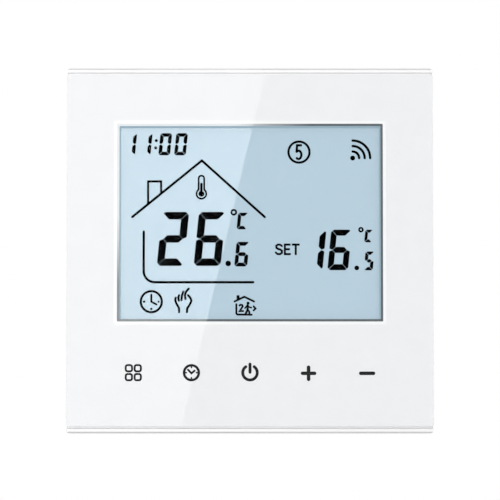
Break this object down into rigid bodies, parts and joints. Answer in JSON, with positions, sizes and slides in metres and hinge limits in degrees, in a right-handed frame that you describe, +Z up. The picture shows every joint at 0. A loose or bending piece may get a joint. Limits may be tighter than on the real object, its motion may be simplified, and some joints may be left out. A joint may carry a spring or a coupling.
{
  "type": "wall thermostat",
  "caption": "Flush wall room thermostat with a glossy panel, a segment display behind a clear window, touch keys and a rear power box.",
  "frame": {"origin": "centre of the mounting plate's rear face, in the plane of the wall surface", "axes": "+X right and +Z up as seen from the room, +Y into the wall, so the panel faces -Y"},
  "size_m": [0.086, 0.041, 0.086],
  "materials": {
    "panel_acrylic": "glossy clear acrylic, printed white on its back",
    "front_plastic": "white moulded plastic, semi-gloss",
    "back_plastic": "white moulded plastic, fine matt texture",
    "foam_tape": "black foam tape, stood in for by a thin solid",
    "display_glass": "liquid-crystal glass over a pale blue backlight",
    "light_guide": "clear moulded light guide",
    "led_phosphor": "small light-emitting diodes on a white strip",
    "elastomer": "striped silicone connector",
    "circuit_board": "green solder mask with pale legend lines",
    "black_plastic": "black moulded plastic",
    "shield_can": "tinned shield",
    "spring_steel": "bright plated spring wire",
    "zinc_steel": "zinc-plated sheet steel",
    "screw_steel": "nickel-plated screw",
    "clamp_brass": "bright brass",
    "relay_plastic": "blue moulded case",
    "ferrite": "dull dark ferrite",
    "winding": "yellow polyester tape over copper winding",
    "film_case": "yellow capacitor case",
    "can_sleeve": "dark sleeve with an aluminium top",
    "epoxy_blue": "dipped blue epoxy",
    "resistor_coat": "matt cement coat with colour bands",
    "terminal_plastic": "green moulded terminal block"
  },
  "bodies": {
    "rear_unit": {"mounting_plate": "zinc_steel", "rear_housing": "back_plastic", "housing_lid": "back_plastic", "power_board": "circuit_board", "header_socket": "black_plastic", "box_screw_left": "screw_steel", "box_screw_right": "screw_steel", "lid_screw_1": "screw_steel", "lid_screw_2": "screw_steel", "lid_screw_3": "screw_steel", "lid_screw_4": "screw_steel", "relay_case": "relay_plastic", "relay_base": "black_plastic", "relay_yoke": "zinc_steel", "relay_coil": "winding", "transformer_core": "ferrite", "transformer_winding": "winding", "x_capacitor": "film_case", "filter_capacitor": "can_sleeve", "varistor": "epoxy_blue", "fuse_resistor": "resistor_coat", "rectifier": "black_plastic", "mains_terminal_block": "terminal_plastic", "sensor_terminal_block": "terminal_plastic"},
    "front_unit": {"front_panel": "panel_acrylic", "panel_tape": "foam_tape", "front_housing": "front_plastic", "display_glass": "display_glass", "backlight_frame": "front_plastic", "light_guide": "light_guide", "led_strip": "led_phosphor", "zebra_strip": "elastomer", "display_board": "circuit_board", "wifi_module": "shield_can", "controller_chip": "black_plastic", "thermistor": "black_plastic", "header_pins": "black_plastic", "touch_spring_menu": "spring_steel", "touch_spring_clock": "spring_steel", "touch_spring_power": "spring_steel", "touch_spring_plus": "spring_steel", "touch_spring_minus": "spring_steel", "board_screw_1": "screw_steel", "board_screw_2": "screw_steel", "board_screw_3": "screw_steel", "board_screw_4": "screw_steel"},
    "armature": {"relay_armature": "zinc_steel"},
    "screw_1": {"terminal_screw_1": "screw_steel"},
    "clamp_1": {"wire_clamp_1": "clamp_brass"},
    "screw_2": {"terminal_screw_2": "screw_steel"},
    "clamp_2": {"wire_clamp_2": "clamp_brass"},
    "screw_3": {"terminal_screw_3": "screw_steel"},
    "clamp_3": {"wire_clamp_3": "clamp_brass"},
    "screw_4": {"terminal_screw_4": "screw_steel"},
    "clamp_4": {"wire_clamp_4": "clamp_brass"},
    "screw_5": {"terminal_screw_5": "screw_steel"},
    "clamp_5": {"wire_clamp_5": "clamp_brass"},
    "screw_6": {"terminal_screw_6": "screw_steel"},
    "clamp_6": {"wire_clamp_6": "clamp_brass"}
  },
  "joints": [
    {"name": "front_unit_pull_off", "type": "slide", "parent": "rear_unit", "child": "front_unit", "axis": [0, -1, 0], "range_m": [0, 0.03]},
    {"name": "armature_pivot", "type": "hinge", "parent": "rear_unit", "child": "armature", "pos_m": [-0.0199, 0.0204, -0.0032], "axis": [0, 0, 1], "range_deg": [-2.5, 0], "stiffness_Nm_per_rad": 0.02, "springref_deg": 1.15},
    {"name": "screw_1_turn", "type": "hinge", "parent": "rear_unit", "child": "screw_1", "pos_m": [-0.0105, 0.026, 0.0173], "axis": [0, -1, 0], "range_deg": [0, 1440]},
    {"name": "clamp_1_lift", "type": "slide", "parent": "rear_unit", "child": "clamp_1", "axis": [0, 1, 0], "range_m": [0, 0.002]},
    {"name": "screw_2_turn", "type": "hinge", "parent": "rear_unit", "child": "screw_2", "pos_m": [-0.0035, 0.026, 0.0173], "axis": [0, -1, 0], "range_deg": [0, 1440]},
    {"name": "clamp_2_lift", "type": "slide", "parent": "rear_unit", "child": "clamp_2", "axis": [0, 1, 0], "range_m": [0, 0.002]},
    {"name": "screw_3_turn", "type": "hinge", "parent": "rear_unit", "child": "screw_3", "pos_m": [0.0035, 0.026, 0.0173], "axis": [0, -1, 0], "range_deg": [0, 1440]},
    {"name": "clamp_3_lift", "type": "slide", "parent": "rear_unit", "child": "clamp_3", "axis": [0, 1, 0], "range_m": [0, 0.002]},
    {"name": "screw_4_turn", "type": "hinge", "parent": "rear_unit", "child": "screw_4", "pos_m": [0.0105, 0.026, 0.0173], "axis": [0, -1, 0], "range_deg": [0, 1440]},
    {"name": "clamp_4_lift", "type": "slide", "parent": "rear_unit", "child": "clamp_4", "axis": [0, 1, 0], "range_m": [0, 0.002]},
    {"name": "screw_5_turn", "type": "hinge", "parent": "rear_unit", "child": "screw_5", "pos_m": [0.0035, 0.026, -0.0173], "axis": [0, -1, 0], "range_deg": [0, 1440]},
    {"name": "clamp_5_lift", "type": "slide", "parent": "rear_unit", "child": "clamp_5", "axis": [0, 1, 0], "range_m": [0, 0.002]},
    {"name": "screw_6_turn", "type": "hinge", "parent": "rear_unit", "child": "screw_6", "pos_m": [-0.0035, 0.026, -0.0173], "axis": [0, -1, 0], "range_deg": [0, 1440]},
    {"name": "clamp_6_lift", "type": "slide", "parent": "rear_unit", "child": "clamp_6", "axis": [0, 1, 0], "range_m": [0, 0.002]}
  ],
  "couplings": [
    {"joint": "screw_1_turn", "follows": "clamp_1_lift", "rad_per_m": 12566},
    {"joint": "screw_2_turn", "follows": "clamp_2_lift", "rad_per_m": 12566},
    {"joint": "screw_3_turn", "follows": "clamp_3_lift", "rad_per_m": 12566},
    {"joint": "screw_4_turn", "follows": "clamp_4_lift", "rad_per_m": 12566},
    {"joint": "screw_5_turn", "follows": "clamp_5_lift", "rad_per_m": 12566},
    {"joint": "screw_6_turn", "follows": "clamp_6_lift", "rad_per_m": 12566}
  ]
}
